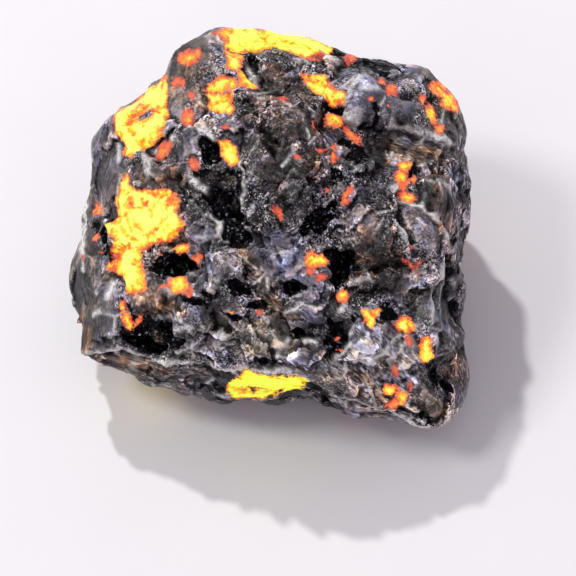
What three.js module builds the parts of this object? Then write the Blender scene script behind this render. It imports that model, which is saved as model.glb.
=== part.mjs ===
// Rough sodalite syenite: one hand-sized lump of grey crystalline rock, broken on all sides.
//
// The lump is a block with a broad, domed fracture face that leans back from level, short side faces that
// fall away behind its rim, an undercut front and a flat broken base that it rests on. A ball of small even
// triangles is shrunk onto the convex hull of the block's corners. Then the ledges, scars and swells that
// breaking left are cut into that surface, and last of all the small chips that cover a coarse-grained rock.
// Millimetres, +Z up, with the origin on the floor under the middle of the stone's box.

import * as THREE from 'three';
import { ConvexHull } from 'three/addons/math/ConvexHull.js';
import { mergeVertices } from 'three/addons/utils/BufferGeometryUtils.js';

const { smoothstep } = THREE.MathUtils;

// ---- driving dimensions ----

const FACE_LEAN = 30;      // degrees that the broad face leans back from level
const FACE_HEIGHT = 19;    // height of the broad face's own origin above the floor
const BALL_DETAIL = 21;    // cuts each edge of the ball's 20 big triangles in 22, for 1.5 mm on the stone
const SCATTER = 0.024;     // how far the unit ball's vertices are shaken out of their even rows
const STEP_WIDTH = 1.3;    // width of the slope below a ledge
const CHIP_COUNT = 420;    // chips all over the stone
const CHIP_RADIUS = 8;     // radius of each chip's bowl
const CHIP_SLOPE = 0.3;    // steepest tilt of a bowl, as a slope
const CHIP_DEEPEST = 0.8;  // furthest that a bowl's middle lies below the unchipped surface
const CHIP_HIGHEST = 0.3;  // furthest that it stays above that surface

// ---- the block's corners ----

// Corners near the broad face are measured in its own frame: across it to the right, up it, and out of it.
const RIM_BEHIND = [
  [-8, 29.6, 1], [-13.6, 26, 0], [-25.7, 14.4, -2], [-26.6, 13, -2],
  [-29.8, -6.5, -4], [-29, -12, -4], [-27.5, -16.5, -1], [-27.2, -19.2, 2],
  [-19, -23.6, 3], [-10, -24.8, 3], [5.6, -25.5, 3], [15.4, -28.6, 2],
  [24.6, -29.3, 2], [27.1, -28.1, 0], [29.9, -24, -3], [28.6, -15, -5],
  [29.6, 4.5, -4], [30.4, 13.8, -1], [27.4, 20.7, -1], [22, 24.2, -1],
  [9, 26.4, 0], [-2.5, 29.6, 1],
];
const RIM_IN_FRONT = [
  [-26, -18, 6], [-18, -19.3, 10], [-8.4, -20.8, 12.5], [5, -21.5, 14],
  [11.5, -23.5, 12.5], [24.5, -28, 7], [26.2, -24, 6.5], [24, -14, 11],
  [25.2, -3, 11.5], [25.5, 10, 9.5], [26.5, 17, 5], [21, 22.5, 5],
  [8, 24.5, 7.5], [-3, 25, 8], [-9, 26, 6.5], [-16, 19, 6],
  [-22.5, 12, 5], [-24.5, 4, 5.5], [-27.3, 0, 3], [-27, -8, 4.5],
];
const DOME = [
  [-14, 5, 13], [-10, -10, 16], [4, 4, 18], [12, 12, 15], [-3, 15, 15],
  [16, -3, 16.5], [6, -12, 17.5], [18, -16, 13.5], [-17, -12, 12.5],
];
// Corners of the underside and the back are measured from the floor: right, back and up.
const BASE = [
  [-17, -8, 0], [-20, 10, 0], [-10, 19, 0], [10, 20, 0],
  [21, 12, 0], [22, -4, 0], [12, -15, 0], [-6, -14, 0],
];
const BACK = [
  [-20, 22, 14], [0, 27, 16], [18, 26, 13], [26, 16, 10], [-25, 10, 12],
];

const steepness = THREE.MathUtils.degToRad(90 - FACE_LEAN);
const ACROSS = new THREE.Vector3(1, 0, 0);
const UP_FACE = new THREE.Vector3(0, Math.sin(steepness), Math.cos(steepness));
const OUT_OF_FACE = new THREE.Vector3(0, -Math.cos(steepness), Math.sin(steepness));
const FACE_ORIGIN = new THREE.Vector3(0, 0, FACE_HEIGHT);

function faceDirection([across, up, out]) {
  return new THREE.Vector3()
    .addScaledVector(ACROSS, across)
    .addScaledVector(UP_FACE, up)
    .addScaledVector(OUT_OF_FACE, out);
}

const onFace = (place) => faceDirection(place).add(FACE_ORIGIN);

// ---- ledges ----

// A ledge is a line across the broad face. On the line's right-hand side the rock drops by `drop`, and it
// comes back to the general surface over the next `reach`.
const LEDGES = [
  // above the upper right-hand step
  { drop: 2.4, reach: 9, line: [[10, 15.8], [13, 14.4], [20, 14.6], [25.5, 12.4], [29, 12]] },
  // left of the middle
  { drop: 1.8, reach: 7, line: [[-2.2, 0.2], [-4.3, 3.4], [-4, 8], [-3.8, 14.6], [-1, 16]] },
  // below the middle
  { drop: 1.3, reach: 5, line: [[-3.6, 1.6], [-1, -0.6], [3, -1], [6.5, 1.6], [10, 4.4]] },
];

function ledgeDrop(across, up, { drop, reach, line }) {
  const place = new THREE.Vector2(across, up);
  const foot = new THREE.Vector2();
  let nearest = Infinity;
  let rightHand = false;
  let pastTheEnd = 0;
  for (let i = 0; i + 1 < line.length; i++) {
    const start = new THREE.Vector2(...line[i]);
    const along = new THREE.Vector2(...line[i + 1]).sub(start);
    const fromStart = place.clone().sub(start);
    const share = fromStart.dot(along) / along.lengthSq();
    foot.copy(start).addScaledVector(along, THREE.MathUtils.clamp(share, 0, 1));
    const distance = foot.distanceTo(place);
    if (distance >= nearest) continue;
    const beyond = (i === 0 && share < 0) || (i + 2 === line.length && share > 1);
    nearest = distance;
    rightHand = along.cross(fromStart) < 0;
    pastTheEnd = beyond ? distance : 0;
  }
  if (!rightHand) return 0;
  const slope = smoothstep(nearest, 0, STEP_WIDTH);
  const comeback = smoothstep(nearest, STEP_WIDTH, STEP_WIDTH + reach);
  const fade = smoothstep(pastTheEnd, 0, reach / 2);
  return drop * slope * (1 - comeback) * (1 - fade);
}

// ---- scars ----

// A scar is the bowl that a flake leaves: part of a ball of the given radius. Its deepest point is given in
// the broad face's frame, and it opens out of that face, or towards the direction given in the same frame.
const SCARS = [
  { deepest: [11, 24.5, 6.3], radius: 7, towards: [0, 0.6, 1] },      // dark hollow behind the lobe
  { deepest: [10.5, 16.8, 12.5], radius: 2.5 },                       // end of the crack at its foot
  { deepest: [-7.5, 10, 13.0], radius: 6 },                           // trough left of the middle
  { deepest: [-8.5, 12.4, 11.9], radius: 2.2 },
  { deepest: [-6.5, 1, 14.2], radius: 6 },
  { deepest: [-12.7, -5.4, 12.6], radius: 3 },                        // the deep oval pit
  { deepest: [-16.2, -5.6, 12.2], radius: 2.6 },
  { deepest: [-18, -16.4, 8.9], radius: 5 },                          // hollow behind the front rim
  { deepest: [11, -5.5, 15.4], radius: 4 },                           // hollows right of the middle
  { deepest: [2.5, -9.2, 16.3], radius: 2.5 },
  { deepest: [-20, -21.3, 6.3], radius: 7, towards: [-0.2, -1, 0.4] },    // bites out of the front rim
  { deepest: [0, -24.6, 8.5], radius: 9, towards: [0, -1, 0.5] },
  { deepest: [9, -26, 7.3], radius: 6, towards: [-0.2, -1, 0.4] },
  { deepest: [26, -17, 5.5], radius: 7, towards: [1, 0, 0.4] },           // bites out of the side rims
  { deepest: [27.6, -5.5, 4], radius: 9, towards: [1, 0, 0.25] },
  { deepest: [-27.6, -3.5, 1], radius: 5, towards: [-1, 0.2, 0.6] },
];

// Moves a point in along its normal onto the bowl of a scar.
function cutScar(point, normal, { deepest, radius, towards = [0, 0, 1] }) {
  const middle = onFace(deepest).addScaledVector(faceDirection(towards).normalize(), radius);
  const fromMiddle = point.clone().sub(middle);
  const inside = radius * radius - fromMiddle.lengthSq();
  if (inside <= 0) return;
  const along = fromMiddle.dot(normal);
  point.addScaledVector(normal, -along - Math.sqrt(along * along + inside));
}

// ---- swells ----

// A swell is a rounded rise, or a hollow where `rise` is negative. Its top is flat out to SWELL_TOP of its
// reach, and it runs out at the full reach.
const SWELL_TOP = 0.2;
const SWELLS = [
  { middle: [3, 8, 17], reach: 10, rise: 0.8 },             // middle of the broad face
  { middle: [14, 20, 10], reach: 4.6, rise: 2.0 },          // lobe above the upper right-hand step
  { middle: [13.4, 22.4, 8.5], reach: 2.6, rise: 0.8 },
  { middle: [-10.4, -1, 14.5], reach: 4.5, rise: 1.3 },     // lobe left of the middle
  { middle: [20.5, -1, 13.5], reach: 6, rise: 1.0 },        // plate at the right
  { middle: [-17, 7.5, 11.5], reach: 5, rise: 0.9 },        // shoulder at the left
  { middle: [7.5, -13, 17], reach: 4, rise: 0.9 },          // knobs near the front rim
  { middle: [-4.5, -15, 15], reach: 5, rise: 0.8 },
  { middle: [25, -27, 5], reach: 5, rise: 0.9 },            // toe at the front right
  { middle: [-27.4, 5.5, 0], reach: 7, rise: -2.1 },        // left side
  { middle: [-29.6, -6.5, -3], reach: 4, rise: 1.1 },
  { middle: [-26.7, 13.3, -1], reach: 3, rise: 1.0 },
  { middle: [-20, 20.5, 0], reach: 7, rise: -1.3 },         // upper left
  { middle: [-15, 24.5, 0], reach: 4, rise: -1.4 },
  { middle: [-8.5, 29.3, 1], reach: 5, rise: 1.0 },         // top
  { middle: [0, 29.4, 1], reach: 5, rise: 0.8 },
  { middle: [12, 26, 1], reach: 7, rise: -0.9 },
  { middle: [23, 23.7, 0], reach: 4, rise: 1.2 },
  { middle: [29.8, 9.4, -2.5], reach: 5, rise: -1.8 },      // right side
  { middle: [29.2, -5.5, -4], reach: 6, rise: -1.4 },
  { middle: [29.4, -12.5, -2], reach: 9, rise: -2.2 },
  { middle: [18.4, -28.8, 3], reach: 4, rise: -1.5 },       // front
  { middle: [5.6, -25.5, 3.5], reach: 7.5, rise: -2.3 },
];

function raiseSwell(point, normal, { middle, reach, rise }) {
  const runOut = smoothstep(point.distanceTo(onFace(middle)), SWELL_TOP * reach, reach);
  point.addScaledVector(normal, rise * (1 - runOut));
}

// ---- chips ----

// A seeded generator of numbers from 0 to 1, so that the stone comes out the same each time.
function seededRandom(seed) {
  let state = seed;
  return () => {
    state = (Math.imul(state, 1664525) + 1013904223) >>> 0;
    return state / 2 ** 32;
  };
}

const randomVector = (random) => new THREE.Vector3(random() - 0.5, random() - 0.5, random() - 0.5);

// Every chip is a small shallow bowl, tilted at random and centred on one of the surface's vertices.
function makeChips(surface, random) {
  return Array.from({ length: CHIP_COUNT }, () => {
    const middle = surface[Math.floor(random() * surface.length)];
    const tilt = randomVector(random).multiplyScalar(2 * CHIP_SLOPE);
    const height = THREE.MathUtils.lerp(-CHIP_HIGHEST, CHIP_DEEPEST, random());
    return { middle, tilt, height: -height };
  });
}

// Height of the lowest bowl over a point, so that sharp ridges stand between neighbouring bowls.
function chippedHeight(point, chips) {
  const fromMiddle = new THREE.Vector3();
  return Math.min(...chips.map(({ middle, tilt, height }) => {
    fromMiddle.subVectors(point, middle);
    return height + fromMiddle.dot(tilt) + fromMiddle.lengthSq() / (2 * CHIP_RADIUS);
  }));
}

// ---- the stone ----

// The vertex normals, evened with their neighbours' so that both sides of an edge move together.
function evenNormals(geometry, rounds) {
  geometry.computeVertexNormals();
  const { normal } = geometry.attributes;
  const neighbours = Array.from({ length: normal.count }, () => new Set());
  for (let i = 0; i < geometry.index.count; i += 3) {
    const triangle = [0, 1, 2].map((corner) => geometry.index.getX(i + corner));
    for (const vertex of triangle) triangle.forEach((other) => neighbours[vertex].add(other));
  }
  let normals = neighbours.map((_, vertex) => new THREE.Vector3().fromBufferAttribute(normal, vertex));
  for (let round = 0; round < rounds; round++) {
    normals = neighbours.map((around) => {
      const sum = new THREE.Vector3();
      for (const other of around) sum.add(normals[other]);
      return sum.normalize();
    });
  }
  return normals;
}

// Shrinks the ball onto the block along lines to the face's origin, and gives the places of its vertices.
function shrinkOnto(block, geometry, random) {
  const { position } = geometry.attributes;
  const ray = new THREE.Ray(FACE_ORIGIN);
  return Array.from({ length: position.count }, (_, vertex) => {
    ray.direction.fromBufferAttribute(position, vertex);
    ray.direction.addScaledVector(randomVector(random), SCATTER).normalize();
    const place = block.intersectRay(ray, new THREE.Vector3());
    position.setXYZ(vertex, ...place);
    return place;
  });
}

function stoneGeometry() {
  const block = new ConvexHull().setFromPoints([
    ...[...RIM_BEHIND, ...RIM_IN_FRONT, ...DOME].map(onFace),
    ...[...BASE, ...BACK].map((corner) => new THREE.Vector3(...corner)),
  ]);
  const ball = new THREE.IcosahedronGeometry(1, BALL_DETAIL);
  ball.deleteAttribute('normal');
  ball.deleteAttribute('uv');
  const geometry = mergeVertices(ball);

  const random = seededRandom(7);
  const surface = shrinkOnto(block, geometry, random);
  const normals = evenNormals(geometry, 3);
  const chips = makeChips(surface, random);
  surface.forEach((start, vertex) => {
    const normal = normals[vertex];
    const point = start.clone();
    const { x: across } = start;
    const up = start.clone().sub(FACE_ORIGIN).dot(UP_FACE);
    const facing = smoothstep(normal.dot(OUT_OF_FACE), 0.2, 0.7);    // none on the sides, full on the face
    for (const ledge of LEDGES) {
      point.addScaledVector(OUT_OF_FACE, -facing * ledgeDrop(across, up, ledge));
    }
    for (const scar of SCARS) cutScar(point, normal, scar);
    for (const swell of SWELLS) raiseSwell(point, normal, swell);
    point.addScaledVector(normal, chippedHeight(start, chips));
    // The base is level, and nothing reaches below it.
    point.z = start.z < 0.01 ? 0 : Math.max(point.z, 0);
    geometry.attributes.position.setXYZ(vertex, ...point);
  });

  geometry.computeBoundingBox();
  const { min, max } = geometry.boundingBox;
  geometry.translate(-(min.x + max.x) / 2, -(min.y + max.y) / 2, 0);
  geometry.computeVertexNormals();
  return geometry;
}

const syenite = new THREE.MeshStandardMaterial({ color: 0x55544f, roughness: 0.7, metalness: 0 });
const stone = new THREE.Mesh(stoneGeometry(), syenite);
stone.name = 'syenite_stone';

const part = new THREE.Group();
part.add(stone);

export default part;
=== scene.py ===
"""Rough sodalite syenite: one lump of grey crystalline rock, 60 mm wide, on a pale floor. Its sodalite glows
yellow and orange, as it does under an ultraviolet lamp, and the rest is feldspar, nepheline, black
amphibole and rust."""

import math

import bmesh
import bpy
import numpy as np
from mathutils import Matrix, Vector, kdtree, noise


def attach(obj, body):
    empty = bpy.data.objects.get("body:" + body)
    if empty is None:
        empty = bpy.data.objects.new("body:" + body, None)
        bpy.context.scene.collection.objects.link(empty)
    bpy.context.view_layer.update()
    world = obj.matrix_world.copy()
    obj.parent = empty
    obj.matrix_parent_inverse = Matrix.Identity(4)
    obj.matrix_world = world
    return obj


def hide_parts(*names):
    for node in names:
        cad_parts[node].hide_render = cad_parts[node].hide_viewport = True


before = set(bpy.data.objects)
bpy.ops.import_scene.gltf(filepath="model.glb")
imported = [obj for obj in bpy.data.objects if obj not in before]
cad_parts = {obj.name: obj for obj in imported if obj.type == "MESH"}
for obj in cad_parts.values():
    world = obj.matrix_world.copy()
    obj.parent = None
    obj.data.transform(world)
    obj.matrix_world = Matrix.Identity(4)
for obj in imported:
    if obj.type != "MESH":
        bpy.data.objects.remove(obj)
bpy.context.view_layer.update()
scene = bpy.context.scene
MM = 0.001

# ----------------------------------------------------------------------------------------------------
# The view. The stone lies on its broken base with its broad fracture face leaning back, and the camera looks
# straight at that face from in front and above, with a long lens.

FACE_LEAN = math.radians(30)
FACE_ORIGIN = Vector((-0.12, 0.63, 19.0)) * MM
ACROSS = Vector((1, 0, 0))
UP_FACE = Vector((0, math.cos(FACE_LEAN), math.sin(FACE_LEAN)))
OUT_OF_FACE = Vector((0, -math.sin(FACE_LEAN), math.cos(FACE_LEAN)))
EYE_DISTANCE = 500 * MM
VIEW_MIDDLE = (2.66, -9.0)      # where the view's middle falls on the face, in mm across and up it
VIEW_WIDTH = 85.1 * MM
SENSOR = 36

camera = bpy.data.objects.new("camera", bpy.data.cameras.new("camera"))
scene.collection.objects.link(camera)
aim = FACE_ORIGIN + ACROSS * VIEW_MIDDLE[0] * MM + UP_FACE * VIEW_MIDDLE[1] * MM
camera.location = aim + OUT_OF_FACE * EYE_DISTANCE
camera.rotation_euler = (-OUT_OF_FACE).to_track_quat("-Z", "Y").to_euler()
camera.data.sensor_width = SENSOR
camera.data.lens = SENSOR * EYE_DISTANCE / VIEW_WIDTH
camera.data.clip_end = 10
scene.camera = camera
scene.view_settings.view_transform = "Standard"


# ----------------------------------------------------------------------------------------------------
# The floor and the light: white card in an evenly lit white room. The main lamp stands high behind the
# stone and to its left, a broader, weaker one to the left, and the shadows fall forwards and to the right.

def linear(code):
    """An sRGB hex code as the linear colour that Blender's sockets take."""
    channels = [int(code[i:i + 2], 16) / 255 for i in (1, 3, 5)]
    return [c / 12.92 if c <= 0.04045 else ((c + 0.055) / 1.055) ** 2.4 for c in channels] + [1.0]


def add(tree, kind, stops=(), **given):
    """Adds a node. Each keyword is a setting of the node, or a socket, called by its name or by i and its
    number. A socket is given a value, another node's output, or another node, which stands for its first
    output in use. The stops of a ramp are places and colours."""
    node = tree.nodes.new("ShaderNode" + kind)
    for index, (place, code) in enumerate(stops):
        ramp = node.color_ramp.elements
        if index == 0:
            ramp.remove(ramp[1])
        stop = ramp.new(place) if index else ramp[0]
        stop.position, stop.color = place, linear(code)
    for key, value in given.items():
        if hasattr(node, key):
            setattr(node, key, value)
            continue
        socket = node.inputs[int(key[1:]) if key[1:].isdigit() else key.replace("_", " ")]
        if isinstance(value, bpy.types.Node):
            value = next(output for output in value.outputs if output.enabled)
        if isinstance(value, bpy.types.NodeSocket):
            tree.links.new(value, socket)
        else:
            socket.default_value = value
    return node


def new_material(name):
    material = bpy.data.materials.new(name)
    material.use_nodes = True
    material.node_tree.nodes.clear()
    return material, material.node_tree


card, tree = new_material("white matt card")
grain = add(tree, "TexNoise", i2=1 / (6 * MM), i3=3.0)
tint = add(tree, "Mix", data_type="RGBA", i0=grain, i6=linear("#ededf0"), i7=linear("#f4f3f6"))
shader = add(tree, "BsdfPrincipled", Base_Color=tint, Roughness=0.85)
add(tree, "OutputMaterial", Surface=shader)

FLOOR_SIZE = 4.0
bpy.ops.mesh.primitive_plane_add(size=FLOOR_SIZE)
floor = bpy.context.object
floor.name = "floor"
floor.data.materials.append(card)

LAMP_DISTANCE = 1.5
LAMPS = [    # the way from the stone to each lamp, its width, its power and its colour
    ((-0.354, 0.693, 1.0), 0.07, 10.2, "#fdfdfa"),
    ((-0.72, -0.02, 1.0), 0.40, 6.9, "#fbfcf8"),
]
for way, width, power, colour in LAMPS:
    lamp = bpy.data.objects.new("lamp", bpy.data.lights.new("lamp", "AREA"))
    lamp.data.shape = "DISK"
    lamp.data.size = width
    lamp.data.energy = power
    lamp.data.color = linear(colour)[:3]
    lamp.location = Vector(way).normalized() * LAMP_DISTANCE
    lamp.rotation_euler = Vector(way).to_track_quat("Z", "Y").to_euler()
    scene.collection.objects.link(lamp)

room = bpy.data.worlds.new("white room")
room.use_nodes = True
room.node_tree.nodes["Background"].inputs["Color"].default_value = linear("#f9f0fc")
room.node_tree.nodes["Background"].inputs["Strength"].default_value = 0.50
scene.world = room

# ----------------------------------------------------------------------------------------------------
# The stone. One lump of coarse-grained syenite, broken off the outcrop on all sides. Its surface is made
# from the plain lump by giving it broken faces and crystal faces, then ledges, pits and cracks where this
# stone has them.

CUTS = 5        # cuts in every edge of the plain solid, which leave edges of about 0.25 mm


def fine_copy(node, name):
    """A copy of a plain solid, cut into small even triangles."""
    cutter = bmesh.new()
    cutter.from_mesh(node.data)
    bmesh.ops.remove_doubles(cutter, verts=cutter.verts, dist=0.001 * MM)
    bmesh.ops.subdivide_edges(cutter, edges=cutter.edges, cuts=CUTS, use_grid_fill=True)
    bmesh.ops.triangulate(cutter, faces=cutter.faces)
    mesh = bpy.data.meshes.new(name)
    cutter.to_mesh(mesh)
    cutter.free()
    piece = bpy.data.objects.new(name, mesh)
    scene.collection.objects.link(piece)
    return piece


def read_vectors(items, name):
    flat = np.empty(len(items) * 3, np.float32)
    items.foreach_get(name, flat)
    return flat.reshape(-1, 3).astype(float)


def write_places(mesh, places):
    mesh.vertices.foreach_set("co", (places * MM).astype(np.float32).ravel())
    mesh.update()


def smoothed(places, edges, rounds):
    """Every point drawn half-way to the middle of its neighbours, so many times."""
    degree = np.bincount(edges.ravel(), minlength=len(places))[:, None]
    for _ in range(rounds):
        total = np.zeros_like(places)
        for axis in range(places.shape[1]):
            total[:, axis] = (np.bincount(edges[:, 0], places[edges[:, 1], axis], len(places))
                              + np.bincount(edges[:, 1], places[edges[:, 0], axis], len(places)))
        places = (places + total / degree) / 2
    return places


# The plain solid's facets are smoothed away, and the ways along which its surface is then raised and cut
# are smoothed further.
stone = fine_copy(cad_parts["syenite_stone"], "rough_syenite")
edges = np.empty(len(stone.data.edges) * 2, np.int32)
stone.data.edges.foreach_get("vertices", edges)
edges = edges.reshape(-1, 2)
places = smoothed(read_vectors(stone.data.vertices, "co") / MM, edges, 50)
write_places(stone.data, places)
normals = smoothed(read_vectors(stone.data.vertex_normals, "vector"), edges, 30)
normals /= np.linalg.norm(normals, axis=1)[:, None]

FACE_AXES = np.array([ACROSS, UP_FACE, OUT_OF_FACE])


def face_places(places):
    """Places in mm across the broad face, up it and out of it."""
    return (places - np.array(FACE_ORIGIN) / MM) @ FACE_AXES.T


on_face = face_places(places)
facing = normals @ FACE_AXES[2]


def steps(value, low, high):
    """0 below the low limit, 1 above the high one, and smooth between them."""
    share = np.clip((value - low) / (high - low), 0, 1)
    return share * share * (3 - 2 * share)


def lumps(points, size, seed=0, octaves=1):
    """Noise from about -1 to 1 with features of the given size in mm, and finer ones. Each octave is turned
    its own way, so that no grid shows."""
    total = np.zeros(len(points))
    for octave in range(octaves):
        turn = np.linalg.qr(np.random.default_rng(100 * seed + octave).standard_normal((3, 3)))[0]
        turned = points @ turn * (2 ** octave / size) + 50 + seed
        total += np.array([noise.noise(place) for place in turned.tolist()]) / 2 ** octave
    return total


# Where a line from the eye through each point meets the plane of the broad face, in mm across and up it.
# Places on the front of the stone are given on that plane.
spread = (EYE_DISTANCE / MM) / (EYE_DISTANCE / MM - on_face[:, 2])
seen = np.array(VIEW_MIDDLE) + (on_face[:, :2] - VIEW_MIDDLE) * spread[:, None]
front = steps(facing, -0.25, 0.1)


def from_segment(start, end, points):
    """The way in mm from the nearest place on a straight line between two ends to each point."""
    along = end - start
    share = np.clip(((points - start) @ along) / (along @ along), 0, 1)
    return points - start - share[:, None] * along


def outline_distance(outline, points):
    """Distance in mm from points to a closed outline, positive inside it."""
    corners = np.array(outline, float)
    nearest = np.full(len(points), np.inf)
    inside = np.zeros(len(points), bool)
    for start, end in zip(corners, np.roll(corners, -1, 0)):
        nearest = np.minimum(nearest, np.hypot(*from_segment(start, end, points).T))
        along = end - start
        crosses = (start[1] > points[:, 1]) != (end[1] > points[:, 1])
        rise = np.where(along[1] == 0, 1e-9, along[1])
        inside ^= crosses & (points[:, 0] < start[0] + (points[:, 1] - start[1]) * along[0] / rise)
    return np.where(inside, nearest, -nearest)


def oval_distance(oval, points):
    """Roughly the same for an oval: middle, half width, half height and, if it leans, angle in degrees."""
    x, y, half_width, half_height = oval[:4]
    angle = math.radians(oval[4] if len(oval) > 4 else 0)
    offset = points - (x, y)
    along = offset @ (math.cos(angle), math.sin(angle))
    across = offset @ (-math.sin(angle), math.cos(angle))
    reach = np.hypot(along / half_width, across / half_height)
    return (1 - reach) * min(half_width, half_height)


FAR_OUTSIDE = -9.0   # mm, the distance kept for points that no shape is near
NEAR_BY = 3          # mm round a shape in which the distance to it is measured


def patch_distance(shapes, points=None):
    """Distance in mm to the nearest of several outlines and ovals, positive inside any of them."""
    points = seen if points is None else points
    nearest = np.full(len(points), FAR_OUTSIDE)
    for shape in shapes:
        if isinstance(shape[0], tuple):
            measure = outline_distance
            low, high = np.min(shape, axis=0), np.max(shape, axis=0)
        else:
            measure = oval_distance
            low, high = np.array(shape[:2]) - max(shape[2:4]), np.array(shape[:2]) + max(shape[2:4])
        near = np.all((points > low - NEAR_BY) & (points < high + NEAR_BY), axis=1)
        nearest[near] = np.maximum(nearest[near], measure(shape, points[near]))
    return nearest


def line_distance(line, points):
    """Distance in mm from points to an open line, positive on its right-hand side."""
    corners = np.array(line, float)
    nearest = np.full(len(points), np.inf)
    signed = np.full(len(points), np.inf)
    for start, end in zip(corners[:-1], corners[1:]):
        distance = np.hypot(*from_segment(start, end, points).T)
        along = end - start
        right = along[1] * (points[:, 0] - start[0]) - along[0] * (points[:, 1] - start[1])
        closer = distance < nearest
        signed = np.where(closer, np.where(right > 0, distance, -distance), signed)
        nearest = np.where(closer, distance, nearest)
    return signed


# What the rock is made of, and where. Each list holds outlines or ovals of one mineral or one kind of
# surface.
CLEAVED_FELDSPAR = [  # smooth, glassy, blue-grey
    [(-2.6, -0.4), (0.2, -0.2), (3.4, -1.2), (5.2, -3.2), (5.6, -6.2), (3.4, -7.2), (0.6, -6.6), (-2, -5.8),
     (-3.6, -4)],
    [(10.9, 15), (11, 18), (12.4, 21), (13.8, 22.4), (15.2, 21.6), (17, 19.6), (20.6, 18), (21.4, 15.6),
     (16, 14.8)],
    [(18.4, 3.8), (21.6, 3), (24.8, 0.8), (25, -1.6), (22.4, -3.4), (20.8, -0.6)],
    (-11.8, 12.2, 1.6, 2.8), (-9.6, 14.6, 1.6, 1), (4.6, -9.4, 1.5, 2.4, 30), (19.4, -9.2, 1.6, 2.2),
    (-7.4, -5.6, 2.2, 2), (14.6, 15.4, 3.6, 0.7), (22.2, 22.6, 2.4, 1.4), (-10.4, -1, 2.4, 1.5, 15),
    (-9.4, -7.6, 1.4, 1.2), (-24.4, -14, 1.6, 2), (17, 14, 3, 0.8, -8), (24.6, -14, 1, 2.4),
    (12.6, 1.4, 2.4, 1.2, 20),
]
GREY_NEPHELINE = [  # greasy, green-grey, in angular lumps
    (-0.6, -16.8, 4.6, 2.6), (-5.8, -17.4, 3, 1.8), (-3, -14.4, 2.4, 1.4), (14.4, -18, 4, 2.6),
    (18, -20.4, 3, 1.6), (0.8, -13.2, 2.4, 1.4, -30), (23.6, -27, 3.2, 2.2), (-12.6, -14.6, 2.6, 1.4),
    (-23.4, -17, 2, 0.9), (21.6, -11.6, 1.6, 3.4), (9.4, -20.6, 3, 1.4), (16.4, -13.6, 3, 2),
    (-11.6, -18.6, 3.4, 1), (21.6, 12, 4.6, 1, -8),
]
WEATHERED_SKIN = [  # dull, fine-grained, grey
    [(-27, 14), (-25, 14.6), (-23.4, 12.4), (-22, 10), (-20.2, 9.4), (-21.4, 7), (-24, 4.4), (-25.4, 1),
     (-28, 1)],
    [(-15.8, 24), (-12, 28), (-8, 30), (-6.4, 28.4), (-8.6, 26.6), (-9, 23.6), (-12.8, 20.4), (-14.8, 19),
     (-15.8, 21)],
    [(-28.5, 0.4), (-25.4, -0.6), (-24.2, -6.6), (-22.2, -9.4), (-22.6, -14), (-26, -18), (-29.6, -18),
     (-31, -7)],
    (-13, 21, 2.4, 3.4, -30), (-17, 7.6, 3.4, 1.9), (23.4, 23, 2.6, 1.6), (-14, 17.6, 1.5, 4),
    (-11.8, 11.6, 1.6, 2.4),
]
RUSTY = [  # stained brown by iron
    [(-3, 12), (0, 15), (4, 17), (8, 14), (8.4, 9), (5, 5.6), (0, 5), (-2.6, 8)],
    [(10.4, -1), (15, 0), (18.4, -3), (19, -8.4), (14, -9.8), (11.4, -8), (12.2, -4)],
    (-1.2, -8.4, 0.9, 5.6, 32), (21.5, 10.6, 4.8, 1.6), (-14.6, 7, 2.4, 1.6), (-16.4, -11.6, 2.6, 1.8),
    (1, 21, 4.6, 3), (-27.6, -15.6, 1.6, 2.8, 20), (28.1, -20, 0.9, 1.5), (-7, 6.6, 2, 0.8),
    (-6.4, 3.8, 1.6, 0.8), (-5, 8.6, 1.4, 0.7), (24.4, 4.6, 1.4, 3.6), (14.6, 12.2, 2.6, 1),
    (-22.4, -20.6, 4, 1), (14, -26, 3.6, 0.8), (26.6, 17.4, 1.2, 2, 30), (7, 15, 1.6, 1.4),
    (-10.6, 15, 1.2, 0.7), (1.6, 18.6, 2.4, 0.8), (12.6, -21.6, 1.2, 0.7, -30),
]
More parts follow.
